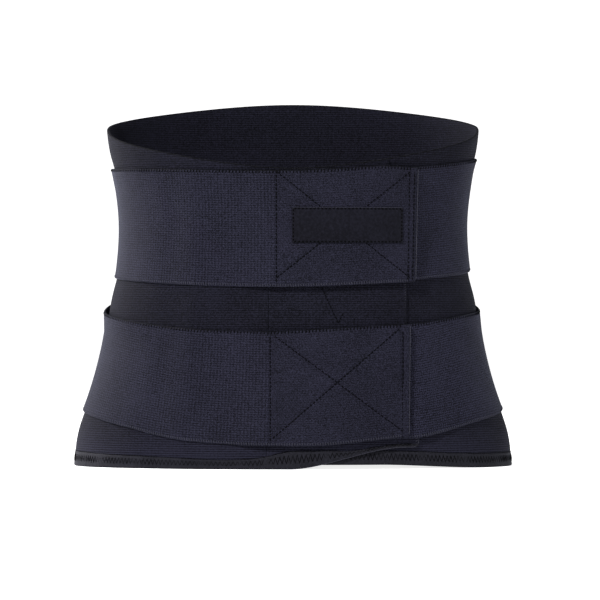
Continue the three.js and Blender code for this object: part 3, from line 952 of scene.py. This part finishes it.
def painted_rim_shade(base, keep):
    """1 on the faces of a cloth and keep on its rims: painted shade that darkens the upper rims where the
    lamps light them.
    """
    rim = base.node("ShaderNodeAttribute", {"attribute_name": "rim"}, {}, output=2)
    return 1 - rim.stepped(0.05, 0.6) * (1 - keep)


def finished(material, base, colour, height, depth, roughness, sheen=0.0, specular=0.05):
    """Principled shader with the colour, and a bump of the height in metres."""
    bump = base.node("ShaderNodeBump", {}, {"Strength": 1.0, "Distance": depth, "Height": height})
    shader = base.node(
        "ShaderNodeBsdfPrincipled", {},
        {
            "Base Color": colour, "Roughness": roughness, "Normal": bump, "Sheen Weight": sheen,
            "Sheen Roughness": 0.4, "Sheen Tint": (0.70, 0.75, 1.0, 1.0), "Specular IOR Level": specular,
        },
    )
    output = base.tree.nodes.new("ShaderNodeOutputMaterial")
    base.tree.links.new(shader.socket, output.inputs["Surface"])
    return material


def new_material(name):
    """An empty material and a Socket on its tree."""
    material = bpy.data.materials.new(name)
    material.use_nodes = True
    material.node_tree.nodes.clear()
    return material, Socket(material.node_tree)


# Black, into which the painted shade of the upper rims is mixed.
BLACK = (0.0, 0.0, 0.0, 1.0)


def grey(level, blue):
    """A grey whose blue is its level times a factor."""
    return (level, level, level * blue, 1.0)


def webbing_material(name, dark, light, pitch, weights, span):
    """Elastic webbing: rows of yarn along it, crossed by knots up it, and closed up
    past the patch's edge, where the map starts. The weights are those of the rows, the
    knots and the places where both meet, and span is the range of shades between dark
    and light."""
    material, base = new_material(name)
    along, up = cloth_map(base)
    wander = noise(base, 60, 2.0) - 0.5
    rows = (up + wander * 0.3).wave(pitch[1])
    knots = (along + wander * 0.6).wave(pitch[0])
    yarns = noise(base, 1300, 2.0, 0.7)
    open_weave = 1 - along.stepped(-1, 1) * 0.8
    crossing = knots * weights[1] + rows * knots * weights[2]
    weave = rows * weights[0] * (open_weave * 0.42 + 0.58) + (crossing - 0.08) * open_weave + 0.08
    shade = weave + (yarns - 0.5) * 1.75 + (noise(base, 26, 3.0) - 0.5) * 0.25
    middle = weights[0] / 2 + weights[1] / 2 + weights[2] / 4
    colour = shade.stepped(middle - 0.45 * span, middle + 0.55 * span).mix(dark, light)
    # Painted shade: the upper rims darken towards black.
    shaded = painted_rim_shade(base, 0.1).mix(BLACK, colour)
    return finished(material, base, shaded, weave + yarns * 0.8, 0.00030, 0.8, SHEEN)


def knit_material(name, dark, light, pitch, fuzz):
    """Fine elastic knit: rows along it and weaker wales up it, under loose fuzz, and painted light towards
    the hem.
    """
    material, base = new_material(name)
    along, up = cloth_map(base)
    wander = noise(base, 50, 3.0) - 0.5
    rows = (up + wander * 0.4).wave(pitch[1])
    wales = (along + wander * 1.4).wave(pitch[0])
    yarns = noise(base, 800, 3.0, 0.75)
    weave = rows * 0.38 + rows * wales * 0.15
    # Towards the hem the rows grow stronger and the colour is painted lighter: painted light where the
    # flaring hem catches the lamps.
    low_down = 1 - up.stepped(-15, 45)
    shade = weave * (low_down * 1.1 + 0.6) + low_down * 0.2 + (yarns - 0.5) * fuzz
    shade = shade + (noise(base, 22, 3.0) - 0.5) * 0.3
    colour = shade.stepped(-0.25, 0.75).mix(dark, light)
    # Painted shade: the upper rims darken towards black.
    shaded = painted_rim_shade(base, 0.15).mix(BLACK, colour)
    return finished(material, base, shaded, weave + yarns * 1.3, 0.00024, 0.85, 0.02)


def plain_material(name, dark, light, roughness, scale, depth, sheen=0.0, specular=0.1):
    """A plain surface with slow patches and a fine grain, of a scale in features per
    metre and a depth in metres."""
    material, base = new_material(name)
    grain = noise(base, scale, 3.0, 0.6)
    colour = (grain * 0.7 + noise(base, 40, 2.0) * 0.3).stepped(0.3, 0.7).mix(dark, light)
    return finished(material, base, colour, grain, depth, roughness, sheen, specular)


def floor_material():
    """Pale studio floor that glows a little, as paper lit from behind does."""
    material, base = new_material("studio_floor")
    grain = noise(base, 3, 2.0)
    colour = grain.stepped(0.2, 0.8).mix(grey(0.60, 1.01), grey(0.62, 1.01))
    finished(material, base, colour, grain, depth=0.0001, roughness=0.95)
    shader = next(node for node in material.node_tree.nodes if node.type == "BSDF_PRINCIPLED")
    shader.inputs["Emission Color"].default_value = (1, 1, 1, 1)
    shader.inputs["Emission Strength"].default_value = FLOOR_GLOW
    return material


def world_light(strength):
    """Even white light from all round."""
    world = bpy.data.worlds.new("studio")
    world.use_nodes = True
    background = world.node_tree.nodes["Background"]
    background.inputs["Color"].default_value = (1, 1, 1, 1)
    background.inputs["Strength"].default_value = strength
    bpy.context.scene.world = world


SHEEN = 0.07
FLOOR_GLOW = 0.80
WORLD_STRENGTH = 0.36

# Name, azimuth, elevation, distance, width, height, watts and colour
LIGHTS = (
    ("key", -31, 36, 3.0, 0.3, 0.3, 134, (1.0, 0.99, 1.0)),
    ("left_strip", -116, 22, 2.2, 0.5, 1.4, 84, (1.0, 0.97, 0.98)),
    ("right_strip", 72, 8, 2.4, 0.5, 1.6, 31, (0.97, 0.98, 1.0)),
)

build_camera()
build_backdrop()
world_light(WORLD_STRENGTH)
bpy.context.scene.view_settings.view_transform = "Standard"
for light in LIGHTS:
    area_light(*light)

KNIT = knit_material("elastic_knit", grey(0.0005, 1.9), grey(0.0110, 1.8), pitch=(2.6, 1.8), fuzz=1.45)
RIBBED = knit_material("flap_loops", grey(0.0004, 1.9), grey(0.0112, 1.8), pitch=(2.6, 1.8), fuzz=1.5)
WEBBING = webbing_material(
    "strap_webbing", grey(0.0008, 2.2), grey(0.0154, 1.8),
    pitch=(2.6, 1.82), weights=(0.18, 0.10, 0.10), span=0.82,
)
INNER_WEBBING = webbing_material(
    "inner_webbing", grey(0.0006, 2.2), grey(0.0162, 1.9),
    pitch=(1.9, 1.8), weights=(0.18, 0.08, 0.06), span=0.60,
)
TAPE_CLOTH = plain_material(
    "hem_tape", grey(0.0030, 1.6), grey(0.0086, 1.5),
    roughness=0.8, scale=700, depth=0.0003, sheen=0.03,
)
LABEL_FACE = plain_material(
    "label_face", grey(0.0026, 1.6), grey(0.0062, 1.6),
    roughness=0.6, scale=500, depth=0.00008, specular=0.03,
)
# Light thread: the edge loops, and painted highlights up the fold ends, along the flap's lower edge and along
# the label's top edge.
THREAD = plain_material(
    "edge_thread", grey(0.0130, 1.5), grey(0.0230, 1.4),
    roughness=0.7, scale=1500, depth=0.00005, sheen=SHEEN,
)
DARK_THREAD = plain_material(
    "seam_thread", grey(0.0004, 1.4), grey(0.0012, 1.4),
    roughness=0.7, scale=1500, depth=0.00005, specular=0.03,
)
HOOKS = plain_material(
    "hook_tape", grey(0.0050, 1.2), grey(0.0090, 1.2),
    roughness=0.85, scale=1200, depth=0.0002,
)


def dress(piece, material, slot, *nodes):
    """Gives a piece its material and body, and hides the nodes that it stands for. Its slot is not used."""
    piece.data.materials.append(material)
    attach(piece, BODY)
    if nodes:
        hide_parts(*nodes)
    return piece


def sew(name, run, material, slot, radius, rise):
    """One piece of threads along a run of starts, ends and normals."""
    return dress(threads(name, *run, radius, rise), material, slot)


wrap = dress(build_wrap(), KNIT, "elastic", "corset_body")
flap = dress(build_flap(), RIBBED, "ribbed_elastic", "closure_flap")
wrap_tape = dress(
    folded_tape("wrap_tape", INNER_END_ANGLE, WRAP_END_ANGLE, wrap_hem, wrap_inner),
    TAPE_CLOTH, "tape", "body_hem_binding",
)
flap_tape = dress(
    folded_tape("flap_tape", SEAM_ANGLE, FLAP_END_ANGLE, outer_hem, outer_half, FLAP_SLIDE),
    TAPE_CLOTH, "tape", "flap_hem_binding",
)
label = dress(build_label(), LABEL_FACE, "label", "label_patch")
for pad in ("upper_hook_pad", "lower_hook_pad"):
    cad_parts[pad].data.materials.clear()
    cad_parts[pad].data.materials.append(HOOKS)

straps, on_straps = {}, {}
for name, course in COURSES.items():
    material = WEBBING if course.folded else INNER_WEBBING
    piece = name.replace("strap", "webbing")
    straps[piece] = dress(build_strap(name, piece), material, "webbing", name)
    root = course.start if course.folded else course.end
    inward = 1 if course.folded else -1
    dark_runs = [root_seam(course, root + ROOT_SEAM_START * inward, root + ROOT_SEAM_END * inward)]
    for first_across, first_height, last_across, last_height in zip(*course.seams.values()):
        line = across_line(course, (first_across, first_height), (last_across, last_height))
        dark_runs.append(seam(line, PATCH_STITCH, PATCH_GAP))
    lower_edge, upper_edge = looped_edge(course, 0.0, LOOP_PITCH), looped_edge(course, 1.0, TOP_LOOP_PITCH)
    # On folded ends the light thread also runs up the fold as a painted highlight.
    light_runs = [lower_edge, fold_highlight_line(course)] if course.folded else [lower_edge]
    on_straps[piece] = [
        sew(piece + "_lower_loops", gather(*light_runs), THREAD, "webbing", radius=0.36, rise=0.3),
        sew(piece + "_upper_loops", upper_edge, DARK_THREAD, "webbing", radius=0.6, rise=0.3),
        sew(piece + "_seams", gather(*dark_runs), DARK_THREAD, "webbing", radius=0.46, rise=0.2),
    ]

wrap_stitches = sew(
    "wrap_stitches",
    hem_stitches(wrap_hem, wrap_inner, stay, INNER_END_ANGLE + 1, WRAP_END_ANGLE - 0.5),
    DARK_THREAD, "tape", radius=0.26, rise=0.12,
)
flap_hem_stitches = sew(
    "flap_hem_stitches",
    hem_stitches(outer_hem, outer_half, FLAP_SLIDE, SEAM_ANGLE + 0.5, FLAP_END_ANGLE - 2),
    DARK_THREAD, "tape", radius=0.28, rise=0.12,
)
# Light thread along the flap's lower edge and corner, mostly a painted highlight.
flap_border_stitches = sew("flap_border_stitches", flap_highlight_line(), THREAD, "tape", radius=0.28, rise=0.1)
flap_loops = sew(
    "flap_edge_loops", flap_edge_loops(LOOP_PITCH), THREAD, "ribbed_elastic", radius=0.36, rise=0.2,
)
flap_runs = [bridge_seam()]
for start_angle, start_height, end_angle, end_height in zip(*FLAP_SEAMS.values()):
    angle, height = between((start_angle, start_height), (end_angle, end_height))
    flap_runs.append(seam(wrap_face(angle, height, 0.3), PATCH_STITCH, PATCH_GAP))
flap_stitches = sew(
    "flap_stitches", gather(*flap_runs), DARK_THREAD, "ribbed_elastic", radius=0.38, rise=0.2,
)
# Light thread along the label's top edge as a painted highlight.
label_edge = sew("label_edge", label_highlight_line(), THREAD, "label", radius=0.30, rise=0.05)
label_stitches = sew("label_stitches", label_seam(), DARK_THREAD, "label", radius=0.6, rise=0.2)

SHEETS = (
    (wrap, (0.275, 0.80), [wrap_stitches]),
    (flap, (0.115, 0.245), [flap_loops, flap_stitches]),
    (wrap_tape, (0.0235, 0.95), []),
    (flap_tape, (0.020, 0.112), [flap_hem_stitches, flap_border_stitches]),
    (straps["upper_outer_webbing"], (0.092, 0.42), [label, label_edge, label_stitches]),
    (straps["lower_outer_webbing"], (0.092, 0.42), []),
    (straps["upper_inner_webbing"], (0.092, 0.34), []),
    (straps["lower_inner_webbing"], (0.092, 0.34), []),
)
for piece, flat, on_it in SHEETS:
    on_it + on_straps.get(piece.name, [])
